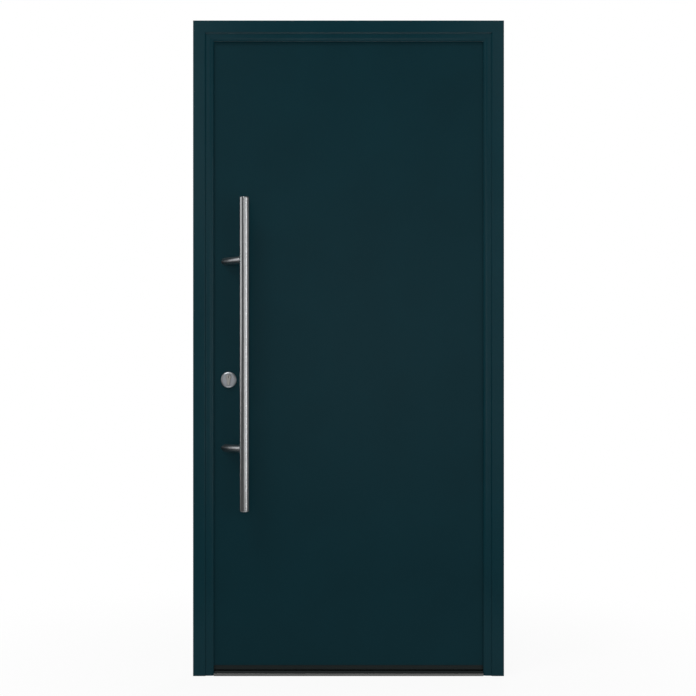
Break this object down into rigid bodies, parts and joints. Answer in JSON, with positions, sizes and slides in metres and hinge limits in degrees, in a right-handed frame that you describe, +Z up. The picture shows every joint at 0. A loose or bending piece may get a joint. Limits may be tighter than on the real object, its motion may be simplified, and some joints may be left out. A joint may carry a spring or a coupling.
{
  "type": "flush front door with frame",
  "caption": "Flush front door in a stepped frame with a low threshold, a long tubular pull handle outside, a lever inside and a lock that throws a bolt and swings hooks into the jamb.",
  "frame": {"origin": "middle of the frame's underside at floor level, half way through the frame's depth", "axes": "+X to the right seen from outside, towards the hinges; +Y into the house; +Z up"},
  "size_m": [0.996, 0.206, 2.1],
  "materials": {
    "frame_paint": "satin",
    "leaf_paint": "satin",
    "stainless": "satin",
    "lock_steel": "satin",
    "nickel": "satin",
    "sill_aluminium": "satin",
    "dark_plastic": "matte",
    "seal_rubber": "matte",
    "rail_board": "matte",
    "foam": "matte"
  },
  "bodies": {
    "frame": {"jamb_lock_outer": "frame_paint", "jamb_lock_inner": "frame_paint", "jamb_hinge_outer": "frame_paint", "jamb_hinge_inner": "frame_paint", "head_outer": "frame_paint", "head_inner": "frame_paint", "insulating_strips": "dark_plastic", "corner_cleats": "sill_aluminium", "threshold_nose": "sill_aluminium", "threshold_bridge": "dark_plastic", "threshold_inner": "sill_aluminium", "frame_gasket": "seal_rubber", "strike_centre": "lock_steel", "strike_upper": "lock_steel", "strike_lower": "lock_steel", "hinge_frame_lower": "stainless", "hinge_frame_middle": "stainless", "hinge_frame_upper": "stainless", "hinge_pins": "lock_steel", "hinge_caps": "stainless", "frame_screws": "lock_steel"},
    "leaf": {"leaf_outer_skin": "leaf_paint", "leaf_inner_skin": "leaf_paint", "leaf_core": "foam", "leaf_rail_lock": "rail_board", "leaf_rail_hinge": "rail_board", "leaf_rail_top": "rail_board", "leaf_rail_bottom": "rail_board", "bottom_strip": "dark_plastic", "bottom_seal": "seal_rubber", "lock_faceplate": "lock_steel", "lock_case": "lock_steel", "hook_case_upper": "lock_steel", "hook_case_lower": "lock_steel", "cylinder_body": "nickel", "cylinder_screw": "lock_steel", "rosette_outside": "stainless", "rosette_inside": "stainless", "lever_rosette": "stainless", "pull_bar": "stainless", "pull_bar_caps": "stainless", "pull_standoff_lower": "stainless", "pull_standoff_upper": "stainless", "pull_studs": "lock_steel", "hinge_leaf_lower": "stainless", "hinge_leaf_middle": "stainless", "hinge_leaf_upper": "stainless", "leaf_screws": "lock_steel"},
    "lever_set": {"lever_handle": "stainless", "lever_spindle": "lock_steel", "lock_follower": "lock_steel"},
    "latch": {"latch_bolt": "lock_steel"},
    "bolt": {"dead_bolt": "lock_steel"},
    "cylinder_core": {"cylinder_plugs": "nickel", "cylinder_cam": "nickel"},
    "upper_hook": {"hook_upper": "lock_steel"},
    "lower_hook": {"hook_lower": "lock_steel"},
    "upper_rod": {"drive_rod_upper": "lock_steel"},
    "lower_rod": {"drive_rod_lower": "lock_steel"}
  },
  "joints": [
    {"name": "leaf_swing", "type": "hinge", "parent": "frame", "child": "leaf", "pos_m": [0.454, 0.053, 0], "axis": [0, 0, -1], "range_deg": [0, 105]},
    {"name": "lever_turn", "type": "hinge", "parent": "leaf", "child": "lever_set", "pos_m": [-0.385, 0.04, 1.049], "axis": [0, 1, 0], "range_deg": [0, 45], "stiffness_Nm_per_rad": 2, "springref_deg": -20.05},
    {"name": "latch_slide", "type": "slide", "parent": "leaf", "child": "latch", "axis": [1, 0, 0], "range_m": [0, 0.0141]},
    {"name": "bolt_throw", "type": "slide", "parent": "leaf", "child": "bolt", "axis": [-1, 0, 0], "range_m": [0, 0.02]},
    {"name": "key_turn", "type": "hinge", "parent": "leaf", "child": "cylinder_core", "pos_m": [-0.385, 0.02, 0.957], "axis": [0, -1, 0], "range_deg": [0, 361]},
    {"name": "upper_hook_swing", "type": "hinge", "parent": "leaf", "child": "upper_hook", "pos_m": [-0.436, 0.02, 1.61], "axis": [0, -1, 0], "range_deg": [0, 90.2]},
    {"name": "lower_hook_swing", "type": "hinge", "parent": "leaf", "child": "lower_hook", "pos_m": [-0.436, 0.02, 0.42], "axis": [0, 1, 0], "range_deg": [0, 90.2]},
    {"name": "upper_rod_slide", "type": "slide", "parent": "leaf", "child": "upper_rod", "axis": [0, 0, 1], "range_m": [0, 0.0181]},
    {"name": "lower_rod_slide", "type": "slide", "parent": "leaf", "child": "lower_rod", "axis": [0, 0, -1], "range_m": [0, 0.0181]}
  ],
  "couplings": [
    {"joint": "latch_slide", "follows": "lever_turn", "m_per_rad": 0.017825},
    {"joint": "key_turn", "follows": "bolt_throw", "rad_per_m": 314.16},
    {"joint": "upper_hook_swing", "follows": "bolt_throw", "rad_per_m": 78.54},
    {"joint": "lower_hook_swing", "follows": "bolt_throw", "rad_per_m": 78.54},
    {"joint": "upper_rod_slide", "follows": "bolt_throw", "ratio": 0.9},
    {"joint": "lower_rod_slide", "follows": "bolt_throw", "ratio": 0.9}
  ]
}
